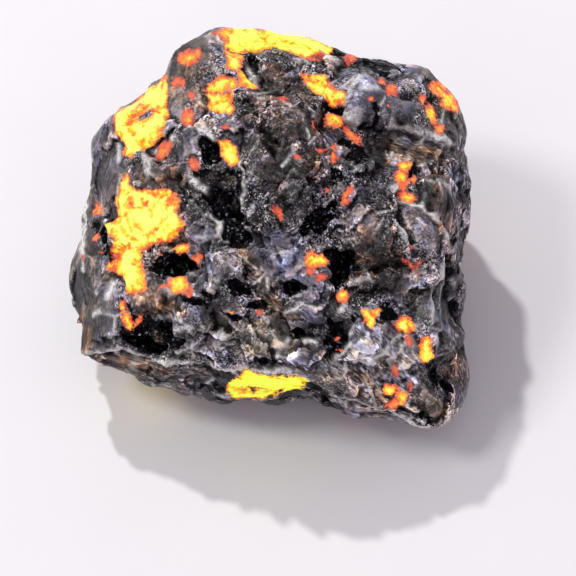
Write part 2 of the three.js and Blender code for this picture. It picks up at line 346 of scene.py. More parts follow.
AMPHIBOLE = [  # black, in pits and patches
    [(-4, 25.9), (-2.4, 25.7), (-1.2, 23), (-1.4, 20.9), (-2.6, 22), (-3.7, 23.4)],
    [(-10.2, 13.6), (-9, 13.2), (-7.5, 12.8), (-7.4, 9.6), (-8.8, 8.6), (-10.1, 10.2)],
    [(-10.8, 8.6), (-8.8, 8.8), (-6.4, 8), (-3.8, 8.4), (-3.4, 5), (-4, 2.6), (-8, 3.4), (-10.6, 5)],
    [(-9.9, 4.4), (-8.4, 5.4), (-5, 4.6), (-4.2, 2), (-3.4, 0.2), (-2.6, -1.8), (-3.8, -3.2), (-6.4, -2.8),
     (-6.6, -0.6), (-8.6, 1.6)],
    [(-22.2, -16.8), (-20.2, -12.8), (-17.6, -13.2), (-14.8, -14.4), (-13, -17.2), (-16, -19),
     (-19, -18.5)],
    [(8.2, -2.8), (10.4, -3.6), (12.4, -3.2), (12.4, -6.4), (11, -8.8), (9.4, -9.2), (8.6, -6.2),
     (7.2, -3.8)],
    [(7, 18.2), (9.4, 18.6), (11, 17), (10.8, 15.4), (9.8, 16.4), (8, 17)],
    (12.6, 25.3, 3.4, 0.9, -8), (17, 23.6, 2.4, 0.9, -10), (12.8, 10.8, 1.5, 2.2), (11.6, 12.6, 1, 1),
    (-5.6, 7.8, 1.8, 0.9, -20), (-13.9, -5.6, 3.3, 1.6, 5), (-24.3, -1.3, 1, 2, 10),
    (-23.4, -3.4, 0.7, 0.8), (3.3, -9.1, 2.3, 0.9, -5), (-4.4, -9.2, 2.3, 1.2, -15),
    (-8.8, -10.2, 1.2, 0.8), (7.4, 1.3, 3, 1.5, 35), (5, -15.6, 1.6, 0.9), (-5.4, -13.5, 1.3, 0.8),
    (9.6, -16.6, 1.7, 2.8), (-0.4, -19.8, 1.6, 0.5), (24.4, -21.8, 0.8, 1.8, 20), (26.6, -23.3, 0.6, 0.7),
    (21.6, -28, 1.9, 0.3, -20), (23.5, -20, 0.6, 2), (14.8, -27.1, 1.6, 0.5, -20),
    (7.4, -24.5, 2, 0.9, -25), (-8, -24.1, 1.4, 0.7), (29.3, 5.3, 0.8, 1.9), (27.9, -6, 0.5, 3.4),
    (17.6, -12.4, 1.2, 1.6, 20), (-20.6, -12.8, 0.8, 1.4), (-11, -10.8, 2.2, 0.8, -15),
    (-1.8, -11.6, 1.2, 0.6), (-16.4, 12.6, 2, 0.5, 35), (24.4, 19.2, 0.5, 1.2), (-10.4, 7.6, 0.8, 1),
    (20.8, 8.4, 0.8, 1.4), (-3.8, -6.4, 1, 0.7), (12.4, -13.4, 0.8, 0.7), (14.6, 16.8, 0.5, 1.2),
    (9.6, 7.6, 0.7, 1),
]
DARK_ROCK_AND_SHADOW = [  # darkened by fine amphibole, and one strip of painted shadow under the lobe at the upper right
    (5, 2.4, 5.4, 3, 15), (14, 9.6, 3.6, 3.6), (2, 12, 5, 3.6), (16.4, 6.6, 2.4, 3.4), (9.4, 6.4, 2.4, 2),
    (10.6, 15.6, 3, 2.4), (-8.6, -11.6, 3.6, 2.2), (13.4, -9.6, 3.4, 1.2), (17.6, 14.8, 3.6, 0.8),
    (24.6, -21, 2, 4.4), (-17, -16.8, 5.6, 2.6), (-7.4, 3, 4.4, 7), (-9, -14, 3, 2), (4.4, 19.4, 4, 3),
    (15.6, -5.6, 3.6, 3.6), (-2, 2, 3, 3.4), (21.6, 17, 2.6, 2.6), (8, 22.8, 3, 2), (-2, 10, 3, 4),
    (13, -4, 3, 2), (-1, 2, 3, 2), (-2, -5, 2, 2), (12.4, 24.6, 5.6, 1.4), (9.4, -15.8, 3, 3.4),
    (-3.4, -8.6, 3.4, 2), (10.4, -5.8, 3, 3.6), (-2, 22.8, 2, 3.6), (4, 20.6, 3, 2), (27.6, -7, 1.2, 6),
    (-13.8, -5.6, 4, 2.4), (-23.6, -2.6, 1.4, 2.6), (13, -25.8, 6, 1, -18), (2, 9, 4, 3),
    (-3.8, 17.8, 2.4, 1.6), (0, -22.4, 8, 1), (16, 1.6, 1.4, 1), (-15, 12.6, 3, 1, 30), (17, 18, 4, 2),
    (14, 17, 3, 2), (-19, -14.4, 4, 3), (-13, 4.6, 2, 1.6), (-18, -21.4, 5, 1.4, -10), (6.6, 16.4, 3, 1.6),
    (14.8, -4.6, 3.6, 3.6), (-27.6, -8, 1.6, 3.4), (-3, 0.6, 2.4, 2.4), (-26, 9, 2, 4), (-26, -15, 2, 2.4),
    (-19.6, 9, 2, 1.4), (-8, -13.6, 2.6, 2), (24, 4, 2, 3), (-8.6, -13, 3.4, 2.4), (26, 15, 2, 2.6),
    (-18.6, 7, 3, 1.2), (6, 17.6, 3.6, 3), (8, 2, 3, 2), (-2, 9, 3, 3), (15, -6, 4, 3.4),
    (-8.6, -11, 3, 1.6),
]
PALE_ROCK = [  # nearly all feldspar or nepheline
    (13.6, 19.6, 2.4, 2.6), (22.8, 0.8, 2.4, 1.4), (13.6, 0.8, 3.4, 2.2), (1.8, -3.2, 2.2, 2.6),
    (3, -6.6, 2.8, 1.1), (-7.4, -5.8, 2, 1.8), (-11.8, 12.2, 1.6, 2.6), (-15.4, 9.4, 3.2, 1),
    (21, 12.4, 4.6, 1, -8), (-2, -14, 3.4, 1.8), (0.4, -17.6, 4.4, 2), (14, -18, 3.6, 2.2),
    (23.8, -27, 3, 2), (-9.6, -1.2, 2.6, 1.6), (-25.4, 11, 2, 3.4), (-23.6, -9.4, 1, 1.6),
    (22.4, -11, 1.4, 3.6), (6.4, -17, 2, 2), (-18, -20.6, 8, 0.8, -10), (14.6, -14, 3, 2),
    (-2, -14, 3.4, 2.4), (22.6, -6, 1.8, 3), (22.6, -14, 1.6, 3), (6, -4, 1.6, 2.6), (-10, -21.6, 4, 1),
    (22, -23, 3, 2), (-12, 17.6, 2, 4.6), (-10, 12, 1.6, 3.4), (-2, -11.6, 3.6, 1.8), (-1, -16, 4, 2),
    (12, 25.6, 4, 1), (8.4, -22, 3, 1), (22, -6.4, 2, 3), (6, -21.4, 4, 1.4), (6, -6.4, 3.4, 2.4),
    (22, 9.6, 3, 1.4), (-2, -18.4, 4, 1.6), (-10.4, -22.6, 4, 1), (-9, 26, 3, 2), (22.8, -13, 1.8, 3),
    (-1, 23.8, 1, 2), (18, -22, 3, 1.6, -20), (8.6, 24.4, 0.8, 1.2),
]
LILAC = [  # the faintly violet feldspar
    (14, 19, 5, 4), (8, 13, 4, 4), (0.6, -6, 7, 4), (-9, 11, 4, 5), (2.4, -3.4, 4, 3.4), (16, 7, 4, 4),
    (27.8, -6, 1.4, 7), (10, 0, 4, 2.4), (0, 24, 2.4, 2), (4, 8, 6, 5), (-24, 9, 2.4, 4), (6, -12, 6, 3),
    (-22, -14, 2.4, 3), (26, -22, 3, 6), (17, 24.4, 7, 1.6), (-4, -22.4, 6, 1.2), (-12, -1, 3, 2),
]
BEIGE = [  # yellowed by weathering
    (-28, -6, 2.4, 14), (-18, -21, 10, 2, -10), (-16.6, 7.8, 4.4, 2), (22, 11.6, 6, 1.4, -8),
    (23.6, -26.6, 4, 2.6), (-12, 22, 4, 6), (10, -24, 8, 1.6, -15), (-8, 5, 4, 3), (-1.6, -9, 1.2, 6, 32),
    (19, 1, 6, 2.4), (-1, -15.6, 6, 3), (25.6, 17.4, 3, 3), (9, 24.4, 1.4, 1.4),
]
RED_BROWN = [  # stained by a film of iron oxide
    (-1, 21.6, 2.4, 2.8), (-2, 17.6, 4, 2.4), (15.8, -5.6, 4, 4.4), (-18, 1, 6, 8), (24.2, 5, 1.4, 4.6),
    (28.2, -21.4, 1.2, 3.4), (-16.2, -11.4, 2.6, 1.8), (-27.6, -16.6, 1.4, 3), (25.6, -20, 1.4, 3),
    (26, -0.6, 1.4, 3), (12, 12, 2, 1), (-13.6, 6.2, 2.2, 1.6), (-19, -10.6, 2, 1),
]
PALE_EDGES = [  # white lines along edges, ridges and veins, some of them painted highlights, such as the one along the ledge at the upper right: half the width and the course of each
    (0.35, [(-10.4, 14.3), (-8.8, 13.7), (-7.7, 12.7)]), (0.4, [(-17.4, 11.4), (-16, 11.8), (-14.2, 13)]),
    (0.4, [(-11.8, 7.2), (-10.6, 6.2), (-9.4, 5.4)]), (0.5, [(20.2, 14.6), (22.4, 13.9), (24.6, 12.9)]),
    (0.4, [(23.7, 13.7), (26.6, 12.1)]), (0.35, [(17.4, 14.9), (20.2, 14.4)]),
    (0.35, [(8.4, 25.5), (8.8, 24.6), (9.5, 23.4)]), (0.25, [(5.2, -17), (5.9, -16.6), (6.5, -16.4)]),
    (0.35, [(-15.3, -13.2), (-14.2, -13.5)]), (0.4, [(-13.5, -15), (-11.8, -14.7)]),
    (0.25, [(-27.2, 3.6), (-27.8, -1), (-27.6, -6.4)]),
    (0.4, [(-23.4, -8.4), (-23.9, -9.6), (-24.1, -10.4)]),
    (0.3, [(19, 4.2), (22.6, 2.8), (25, 0.6), (25.5, -3), (24.5, -8), (23.6, -14)]),
    (0.4, [(-2.9, 24), (-2, 21)]),
    (0.35, [(-26.6, -18.7), (-22, -18.3), (-18, -19.6), (-12, -20.7), (-6, -21.1), (2, -21.2), (6, -22.4)]),
    (0.3, [(12, -25.4), (16.4, -27), (20, -28.4), (23.6, -29.6)]),
    (0.3, [(11, 18.4), (12.4, 21.2), (13.8, 22.5), (15.2, 21.8)]),
    (0.3, [(-8.9, 1.6), (-7.4, 0.4), (-7.8, -1.4)]), (0.15, [(-3.9, 9.6), (-3.9, 7), (-4.3, 3)]),
    (0.3, [(12.4, -19.4), (15, -17.4)]), (0.3, [(14.6, -20), (17.6, -17.8)]),
    (0.3, [(9.6, -19.4), (11.6, -17)]), (0.3, [(2, -13), (4.6, -11.4)]),
    (0.3, [(17.6, -19.6), (19.6, -17.6)]), (0.3, [(1, -19), (2.6, -16.6)]),
]
IRON_STAINS = [  # golden-brown, along old joints: half the width and the course of each
    (1.1, [(-4.2, -3.8), (-2.4, -6.6), (-0.4, -9.4), (0.6, -11.4), (1.6, -13.2)]),
    (0.6, [(-9.8, 6.8), (-8.4, 7.4)]), (0.5, [(-7.4, 6), (-5.4, 6.8)]),
    (1.2, [(-17.8, -11), (-15.4, -12.4)]), (0.6, [(-11, 15), (-9.6, 14.6)]),
    (0.9, [(25.4, 18.4), (27.4, 16.4)]), (1, [(-27.6, -13.6), (-27.2, -18)]),
    (0.4, [(-4.4, 5), (-5.6, 3.2)]), (0.4, [(-8.6, 4.4), (-7.4, 3.6)]), (0.5, [(6.6, 10), (7, 7.4)]),
    (0.6, [(17.6, 11.6), (17.4, 9.6)]), (0.5, [(13.4, -22), (15, -23.2)]),
    (0.8, [(-22, -20), (-15, -21.6)]), (0.5, [(-16.6, -15.4), (-16.4, -17)]),
    (0.7, [(25.8, -27.2), (25.2, -28)]), (0.6, [(26.6, -21.2), (27.2, -21.8)]),
    (0.6, [(8.6, 24.8), (9.2, 23.2)]),
]
# Sodalite: each patch's outline or oval, and how hot its middle glows, from 0.3 for dull pink to 1 for
# yellow, and more for a greenish yellow.
SODALITE = [
    ([(-15.2, 22.8), (-15.1, 18.8), (-15.2, 16.1), (-15.7, 13.4), (-18.5, 11.8), (-20.4, 10.2), (-22, 10.6),
     (-21.8, 12.4), (-22.9, 15.2), (-22.6, 16.6), (-20.9, 17.8), (-18.8, 20), (-17, 20.8)], 1.1),
    ([(-20.9, 8.3), (-23.2, 4.6), (-23.1, 1.9), (-24.7, 0.3), (-22.3, -2), (-23.4, -4.7), (-23.9, -6.2),
     (-21.8, -8.1), (-21, -10.1), (-18.2, -9.8), (-18.3, -6.7), (-19.2, -3.6), (-16.4, -2.6), (-14.1, -1.5),
     (-12.5, 0.2), (-13.6, 2.2), (-13.4, 4), (-14.8, 5.8), (-18.6, 5.6), (-20.4, 6.1)], 1),
    ([(-6.9, -23.5), (-4.7, -22.4), (-4.3, -21.5), (-3, -21.2), (-0.6, -21.4), (0.3, -22.1), (4.4, -22.4),
     (6.3, -22.9), (5.2, -23.7), (2.8, -24.3), (0.7, -24.5), (-0.1, -25), (-2.4, -25.3), (-4.9, -25.1),
     (-6.4, -24.5)], 2),
    ([(-6.8, 26), (-6.3, 28), (-5.4, 30.4), (-1.6, 31), (1, 30), (4, 29), (7, 28), (9.3, 26.6), (9, 25.2),
     (5.4, 24.9), (3, 25.6), (0.6, 26.6), (-1, 26.1), (-4, 25.8)], 1.3),
    ([(-8.6, 28.4), (-7.2, 29.2), (-5.4, 30.2), (-5, 28.4), (-6.4, 27)], 0.5),
    ((6.6, 25.4, 1.6, 0.9), 0.45),
    ([(23.5, 21.3), (25.2, 21.6), (27.4, 19.8), (28.2, 17.6), (27.4, 16.8), (25.8, 18), (25, 19.6)], 0.7),
    ([(4.4, 23), (6, 22.6), (8.4, 21.8), (9.4, 20.4), (11.2, 20), (11.1, 18.4), (9, 18.2), (7.4, 19.4),
     (5.6, 20.6)], 1.05),
    ([(-6.8, 25.9), (-4, 25.8), (-4, 23.8), (-4.6, 22.8), (-6.4, 23.2)], 1),
    ([(-5, 22.8), (-3.6, 22.8), (-1.6, 20.2), (-3, 20.2), (-4.6, 20.6)], 0.8),
    ([(-9.9, 20.4), (-8, 21.8), (-7, 22.4), (-5, 22), (-4.6, 20.4), (-6, 19.8), (-8.4, 19.6)], 0.95),
    ([(-9.6, 19.6), (-7.6, 19.9), (-5.2, 19.8), (-5.4, 18), (-5.2, 16.4), (-6.6, 16.6), (-8.4, 17),
     (-9.4, 17.6), (-9, 18.6)], 0.85),
    ((-12, 24.9, 1.8, 1.2), 0.45), ((-10.6, 25.5, 0.8, 0.9), 0.4), ((-13.6, 21.2, 1.1, 1), 0.4),
    ((-11.6, 19.4, 0.6, 0.7), 0.3), ((-12.3, 16.3, 0.9, 1.4), 0.45), ((-15.9, 11.5, 2, 0.9, 40), 0.3),
    ((-11.2, 9.4, 0.9, 1), 0.35), ((-6.3, 14.7, 0.5, 0.4), 0.35),
    ([(-7.7, 12.8), (-6.6, 12.9), (-5.2, 12), (-4.6, 10.4), (-4.2, 9.2), (-5.6, 8.8), (-6.8, 9.8),
     (-7.4, 11)], 0.95),
    ((-12.9, -3.3, 1.1, 0.7), 0.9), ((-16.1, -4.1, 0.3, 0.2), 0.8), ((1.6, 18.4, 0.9, 0.4), 0.35),
    ((-10.9, -4.7, 0.4, 0.7), 0.6), ((-13.4, -8.5, 1.7, 1.4), 0.7), ((-15.9, -8.7, 0.6, 0.4), 0.7),
    ((-11.6, -9.6, 0.5, 0.7), 0.6), ((-25.7, 2.7, 0.5, 1), 0.8), ((-25.8, -1.5, 0.6, 0.5), 0.5),
    ((-24.7, -3.8, 0.3, 0.2), 0.5), ((-27.6, -4.6, 0.3, 0.6), 0.3), ((-21.5, -11.6, 0.6, 1), 0.9),
    ((-20.9, -13.8, 0.7, 1.4, 20), 1), ((-19.4, -13.8, 0.4, 1, -40), 0.6), ((22.3, 18.6, 0.8, 0.9), 0.5),
    ((24, 16.6, 0.7, 1.9, 12), 1), ((24.8, 14.3, 0.9, 0.7, 40), 0.6), ((16.6, 21.6, 0.7, 0.7), 0.35),
    ((17.9, 20, 0.9, 1.1), 0.4), ((17, 19.3, 0.6, 0.5), 0.35), ((16.7, 17.4, 0.4, 0.4), 0.4),
    ((14.1, 18.5, 0.4, 0.3), 0.45), ((12, 25.2, 1.3, 0.5), 0.4), ((9.5, 15.9, 1.4, 0.9, -25), 0.85),
    ((12, 13.7, 0.5, 1.9, 48), 0.5), ((6.4, 14.8, 0.4, 0.5), 0.3), ((9.4, 11.8, 0.6, 0.5), 0.4),
    ((7.3, 11.1, 1, 0.4), 0.4), ((9.2, 10, 0.8, 0.8), 0.4), ((4.1, 10.4, 0.4, 0.6), 0.3),
    ((19.7, 9, 1, 0.8), 0.85), ((19.5, 6.9, 0.8, 2, 8), 0.65), ((20.4, 4.5, 1.3, 0.8, -25), 0.75),
    ((20.9, 6.7, 0.6, 0.7), 0.55), ((11.4, 4.7, 0.7, 1.6, -28), 0.6), ((8.3, 5.4, 0.4, 0.4), 0.4),
    ((1.7, 2, 0.6, 1.2, -5), 0.35), ((20.7, -3, 0.3, 0.3), 0.4), ((20.2, -5.4, 0.3, 1.6, 40), 0.3),
    ((21.2, -5.2, 0.3, 1, -50), 0.3), ((11, -10.2, 0.9, 1.1), 0.65), ((6.3, -5, 1.2, 1.5, 15), 0.8),
    ((7.6, -5, 0.8, 1), 0.8), ((7.6, -7.5, 1, 0.6, 20), 0.3), ((5.9, -6.6, 0.5, 0.9, 20), 0.3),
    ((-5.8, -12.4, 0.35, 0.3), 0.7), ((-1.5, -12.7, 0.5, 0.35), 0.35), ((20, -14.6, 1.1, 1.5, 15), 1.05),
    ((20.5, -16.6, 0.4, 0.8), 0.4),
    ([(13.4, -12.2), (14.4, -12), (15, -12.6), (15.8, -12), (16.5, -12.3), (15.9, -13.8), (15, -15.4),
     (14.1, -14)], 1),
    ((22.7, -17.9, 1, 2.2), 1), ((18.6, -21.5, 0.4, 1, 10), 0.35), ((17.8, -24.2, 1.1, 0.9), 0.75),
    ((19.5, -25, 0.9, 1), 0.75), ((18.4, -26.2, 1.4, 0.6, 15), 0.7), ((20.6, -23.4, 0.3, 0.8), 0.3),
    ((9.6, -16.1, 0.4, 0.3), 0.5), ((10, -18, 0.3, 0.25), 0.5),
]
# Places inside the glowing patches that don't glow, and those that glow redder.
DARK_SPOTS = [
    (-18.4, 16.6, 1.2, 0.6, 20), (-1.8, 29.4, 0.3, 0.7, 40), (-2.4, -24.1, 0.9, 0.16),
    (7.5, -6.4, 0.7, 0.5), (20.6, 5.9, 0.3, 0.6), (-13.6, 20.5, 0.6, 0.35), (25.3, 18.9, 0.3, 0.3),
    (11.8, 4.6, 0.15, 0.6, -20), (6.9, 25.2, 0.3, 0.2), (-10.9, 16.4, 0.3, 0.3),
]
RED_SPOTS = [
    (-20.2, 3.4, 1, 1.5, -30), (-16.6, 4.8, 1.4, 0.6), (-14.4, 4, 0.9, 1), (-16.3, -2.3, 1.4, 0.3, 20),
    (-21.8, -3.6, 0.5, 0.8), (7, 25.4, 1.8, 0.5), (-22.4, 15, 0.5, 1.6), (-3.4, 28.9, 0.9, 0.5),
    (-17.6, 2.6, 0.3, 2, 30), (-20, -9.6, 1.6, 0.3), (-23.3, -4.4, 0.5, 1), (-8, 21, 0.5, 0.6),
    (-6.4, 19, 0.7, 0.3), (9, 20.4, 0.4, 0.9, 40), (26.2, 20.4, 1.6, 0.5, -45),
    (-19.8, -0.8, 0.2, 1.4, -20),
]

# Noise in three sizes, which frays and bends every border.
ragged = lumps(places, 1.5, seed=1, octaves=4)
frayed = lumps(places, 0.7, seed=2, octaves=2)
crooked = lumps(places, 4, seed=15, octaves=2)
hidden = 1 - front


def amount(shapes, fray, edge, seed, size, limit):
    """How much of a mineral there is at each point, from 0 to 1. On the front it fills its shapes, whose
    borders are frayed by so many mm and fade over the edge's mm to each side. On the hidden sides it lies
    in patches of the given size in mm, the fewer the higher their limit."""
    filled = steps(patch_distance(shapes) + fray * ragged, -edge, edge)
    scattered = steps(lumps(places, size, seed=seed, octaves=3), limit, limit + 0.15)
    return filled * front + scattered * hidden


minerals = {
    "cleaved": amount(CLEAVED_FELDSPAR, 0.7, 0.25, seed=3, size=7, limit=0.30),
    "nepheline": amount(GREY_NEPHELINE, 1.3, 0.4, seed=4, size=6, limit=0.22),
    "weathered": amount(WEATHERED_SKIN, 1.2, 0.6, seed=5, size=14, limit=0.10),
    "rusty": amount(RUSTY, 2, 1.2, seed=6, size=8, limit=0.15),
    "amphibole": amount(AMPHIBOLE, 0.9, 0.25, seed=7, size=5, limit=0.30),
    "dark": amount(DARK_ROCK_AND_SHADOW, 1, 1.2, seed=17, size=7, limit=0.15),
    "pale": amount(PALE_ROCK, 1, 1, seed=18, size=7, limit=0.15),
    "lilac": amount(LILAC, 1.5, 1.8, seed=19, size=9, limit=0.05),
    "beige": amount(BEIGE, 1.5, 1.5, seed=20, size=9, limit=0.05),
    "red brown": amount(RED_BROWN, 1.5, 1.2, seed=24, size=8, limit=0.15),
}

# The glow is kept as the distance in mm inside its patch, and the heat of its middle.
strayed = seen + 0.4 * np.stack([lumps(places, 1.1, seed=25), lumps(places, 1.1, seed=26)], 1)
over_edge = steps(facing, -0.45, -0.1)
glow = np.full(len(places), FAR_OUTSIDE)
heat = np.zeros(len(places))
for shape, hottest in SODALITE:
    distance = patch_distance([shape], strayed)
    heat = np.where(distance > glow, hottest, heat)
    glow = np.maximum(glow, distance)
glow = np.where(over_edge > 0.02, glow - 3 * (1 - over_edge), FAR_OUTSIDE)
glow = np.minimum(glow, 0.05 - patch_distance(DARK_SPOTS, strayed))
heat *= 1 - 0.6 * steps(patch_distance(RED_SPOTS, strayed) + 0.4 * frayed, -0.2, 0.4)

# More patches, from specks to 9 mm, are scattered over the whole stone. Only what lies on the hidden sides is
# kept, which is about half of them.
SCATTERED_PATCHES = 70
chance = np.random.default_rng(11)
for _ in range(SCATTERED_PATCHES):
    middle = places[chance.integers(len(places))]
    radius = 0.4 + 4.2 * chance.random() ** 3
    stretch = 0.6 + 0.8 * chance.random(3)
    offset = np.linalg.norm((places - middle) * stretch, axis=1)
    distance = radius + 0.9 * ragged * min(1.6, radius) - offset
    distance = np.where(hidden > 0.5, distance, FAR_OUTSIDE) - 3 * front
    heat = np.where(distance > glow, min(1, 0.35 + radius / 3), heat)
    glow = np.maximum(glow, distance)
sodalite = steps(glow, -0.3, 0.3)
minerals["amphibole"] *= 1 - sodalite


def line_marks(lines):
    """How strongly lines mark each point, from 0 to 1: iron stains, and white lines, some of them painted
    highlights. Each has half its width in mm and its course.
    """
    return np.maximum.reduce([np.exp(-(line_distance(line, strayed) / width) ** 2) for width, line in lines])


iron = line_marks(IRON_STAINS) * front + steps(lumps(places, 5, seed=27, octaves=3), 0.45, 0.6) * hidden
white = line_marks(PALE_EDGES) * front

# The broken surface. Each broken face is a small plane with its own tilt, and the lower of two wins.
STONE_AREA = 9400    # square mm, roughly
NEIGHBOURS = 6       # how many of the nearest faces can win at a point


def broken_faces(count, slope, rise, seed):
    """Heights in mm of a surface broken into so many small faces: where the lower face wins, which leaves
    sharp ridges, and where each face keeps its own cell, which leaves small cliffs. Then each face's own
    shade, up to 1, and how much higher the next face is in mm, which is nothing at an edge."""
    chance = np.random.default_rng(seed)
    middles = places[chance.choice(len(places), count, replace=False)]
    tilts = (chance.random((count, 3)) - 0.5) * 2 * slope
    heights = (chance.random(count) - 0.5) * 2 * rise
    shades = chance.random(count)
    spacing = math.sqrt(STONE_AREA / count)
    tree = kdtree.KDTree(count)
    for index, middle in enumerate(middles):
        tree.insert(middle, index)
    tree.balance()
    bent = places + 0.2 * spacing * np.stack([crooked, ragged, -crooked], 1)
    nearest = np.array([[index for _, index, _ in tree.find_n(point, NEIGHBOURS)] for point in bent.tolist()])
    offsets = places[:, None] - middles[nearest]
    heights = heights[nearest] + (offsets * tilts[nearest]).sum(2)
    bowls = heights + (offsets ** 2).sum(2) / (10 * spacing)
    winner = nearest[np.arange(len(places)), bowls.argmin(1)]
    lowest, next_lowest = np.partition(bowls, 1, axis=1)[:, :2].T
    return lowest - lowest.mean(), heights[:, 0], shades[winner], next_lowest - lowest


big_ridges, _, big_shade, big_gap = broken_faces(count=420, slope=0.55, rise=0.3, seed=21)
ridges, cliffs, shade, gap = broken_faces(count=1700, slope=0.55, rise=0.15, seed=22)
smooth_skin = np.clip(0.9 * minerals["weathered"] + 0.85 * minerals["cleaved"] + 0.5 * sodalite, 0, 1)
rough = 1 - 0.85 * smooth_skin
at_outline = np.exp(-(facing / 0.3) ** 2)
relief = 0.55 * big_ridges * (0.35 + 0.65 * rough) + (0.33 * ridges + 0.12 * cliffs) * rough
relief *= 1 - 0.6 * at_outline

# Parts of the front are broken into blocks. Ridges between broken faces are white here and there, most of all
# on these.
BLOCKY = [(-13, -14.6, 9, 5), (2, -17, 8, 4), (-9, -1, 4, 8), (16, -17, 5, 4)]
blocky = steps(patch_distance(BLOCKY), -1, 1) * front
relief += 0.35 * ridges * blocky
white_ridges = np.maximum(np.exp(-(big_gap / 0.12) ** 2), 0.8 * np.exp(-(gap / 0.06) ** 2) * (0.2 + 0.8 * blocky))
white_ridges *= 0.8 * steps(lumps(places, 3, seed=29), -0.1, 0.3) * (1 - minerals["amphibole"])
white = np.maximum(white, white_ridges)

# Larger forms: the lobe at the upper right, the foot at the lower right, and the rim, where the broad face
# breaks off towards the strip below it. Then come the ledges, cracks, pits and bulges.
LOBE = [(10.9, 15), (11, 18), (12.4, 21), (13.8, 22.4), (15.2, 21.6), (17, 19.6), (21, 18.2),
        (23.4, 15), (16, 14.6)]
FOOT = [(18.8, -23.6), (22, -22.4), (25.2, -24.8), (26.8, -27.6), (25.6, -30), (21.4, -27.6), (18.6, -26)]
RIM = [(-27.4, -18.4), (-20.6, -18.4), (-14.7, -20.3), (-8.4, -21), (5, -21.8),
       (10.5, -24.6), (16.4, -26.8), (23.6, -29.4)]
LEDGES = [  # the drop on the line's right-hand side, and the line
    (1.1, [(10, 15.8), (11.8, 14.7), (15.1, 14.4), (20.4, 14.2), (24.4, 12.7), (28.4, 11.7)]),
    (0.9, [(-1, 16.4), (-3.6, 14.4), (-4, 8), (-3.9, 2.6), (-2.2, -0.2)]),
    (0.8, [(-3.6, 1.6), (-2.2, -0.4), (3, -1.2), (5.9, 0.3), (11.8, 4)]),
    (0.7, [(-12.6, 0.6), (-11.4, 1.4), (-9, 1.2), (-7.4, -0.8)]),
    (0.8, [(25.5, -22.2), (24, -17.6), (23.7, -14.7), (24.9, -7.8), (25.2, -4), (25.8, -1.2), (24.4, 0.7),
     (25.2, 11)]),
    (0.8, [(12, -19.4), (20.2, -21), (27, -18)]), (0.7, RIM),
]
CRACKS = [  # depth, half width and course
    (0.9, 0.35, [(11, 14.9), (14, 14.3), (17, 14.5), (19.6, 14.3)]),
    (0.7, 0.3, [(0.2, -3), (1.2, -4), (2, -5.4)]),
    (0.6, 0.3, [(12.9, -12.2), (13.8, -13.8), (14.8, -15.4)]),
    (0.6, 0.35, [(4, -22.8), (8, -24.6), (13.6, -26.9), (16.4, -27.5), (20, -27.8)]),
    (0.5, 0.3, [(-27, -18.8), (-20, -19.6), (-14, -21.2), (-8, -22.2)]),
    (0.6, 0.4, [(24.2, -9), (25.2, -13), (24.6, -18), (24.4, -21.4), (25.4, -24)]),
]
PITS = [  # depth and oval
    (2, (-13.9, -5.7, 3, 1.5, 5)), (1.6, (2.7, -8.9, 1.9, 0.9, -8)), (1.2, (-2.6, 23.6, 1.1, 2.2)),
    (1.3, (10.8, -5.8, 1.5, 2.6)), (1.4, (-18.2, -17.3, 3.6, 1.1)), (1.2, (9.3, 17.4, 1.7, 0.8, -35)),
    (1.1, (-4.2, -9.4, 1.8, 0.8, -20)), (0.8, (-8.9, 11.4, 1.3, 1.7)), (1, (-7.6, 4.6, 1.8, 1.8)),
    (1, (-5.2, -2, 1.6, 1.2)), (0.8, (7.4, 1.4, 2.2, 0.8, 35)), (1, (9.2, -18, 1.2, 2)),
    (0.8, (12, 10.8, 1, 1.8)), (0.8, (-24.2, -1.4, 0.7, 1.5, 15)), (0.9, (4.4, -15.8, 1, 0.6)),
    (0.8, (-5, -13.3, 0.9, 0.7)), (1, (11, 25, 2.2, 0.8, -12)), (0.6, (-17.4, 7.4, 0.6, 0.4)),
    (0.7, (-18.4, 16.5, 0.7, 0.35, 20)), (0.7, (7.4, -6.4, 0.6, 0.5)),
]
BULGES = [  # height, how far in the sloping edge reaches, and outline
    (1.8, 1.4, LOBE),
    (0.9, 1.4, [(-3.8, 1.2), (-4, 14.6), (-1, 19), (5, 20), (8.4, 15), (10, 9), (8, 4), (3, 0.4),
     (-1, -0.2)]),
    (0.9, 2, [(10.8, 3), (18, 4.4), (25, 1), (25.4, -3), (24.4, -8), (19, -9.6), (12.6, -9)]),
    (0.7, 0.7, [(-13, 0.2), (-11, 1.6), (-8.6, 0.8), (-7.4, -1.6), (-9.6, -2.6), (-12.4, -1.8)]),
    (0.7, 0.6, [(-0.4, -0.6), (2.6, -1), (4.6, -3.6), (3.8, -6), (0.6, -6.2), (-1.4, -3.4)]),
    (0.6, 0.6, [(-9, -3.8), (-6.6, -4.2), (-5.6, -6.2), (-7, -8.2), (-9.4, -7.2)]), (0.7, 0.7, FOOT),
    (0.6, 0.6, [(11.4, -16.8), (14.6, -15.6), (17.4, -18.4), (15.2, -20), (12, -19)]),
    (0.6, 0.6, [(-3, -15.4), (1, -15), (3.2, -17.6), (0.4, -19), (-2.6, -18)]),
    (0.6, 0.5, [(4.6, -15.6), (7.6, -16), (7.4, -18.4), (5, -18.2)]),
    (0.6, 0.5, [(-8.6, -15.6), (-5.2, -15.2), (-4.6, -18.4), (-8, -18.8)]),
    (0.5, 0.6, [(-19, 8.6), (-15.6, 10.2), (-12.2, 9.2), (-13, 6.8), (-17, 7)]),
    (0.5, 0.5, [(-13, 14.6), (-11, 14.4), (-10.4, 10.6), (-12.8, 9.8)]),
    (0.6, 0.8, [(-21.6, 12), (-22.6, 16), (-16.4, 21.6), (-15.6, 14)]),
    (0.7, 0.9, [(-22.6, 4), (-20, 6), (-14, 4), (-13, 0), (-18, -3), (-22, -1)]),
    (0.7, 0.7, [(-22.6, -4.6), (-20, -3), (-18.8, -9.4), (-21, -9)]),
]
LEDGE_REACH = 5      # mm from a ledge over which its rise and its drop die out
wavering = 0.9 + 0.7 * lumps(places, 5, seed=16)
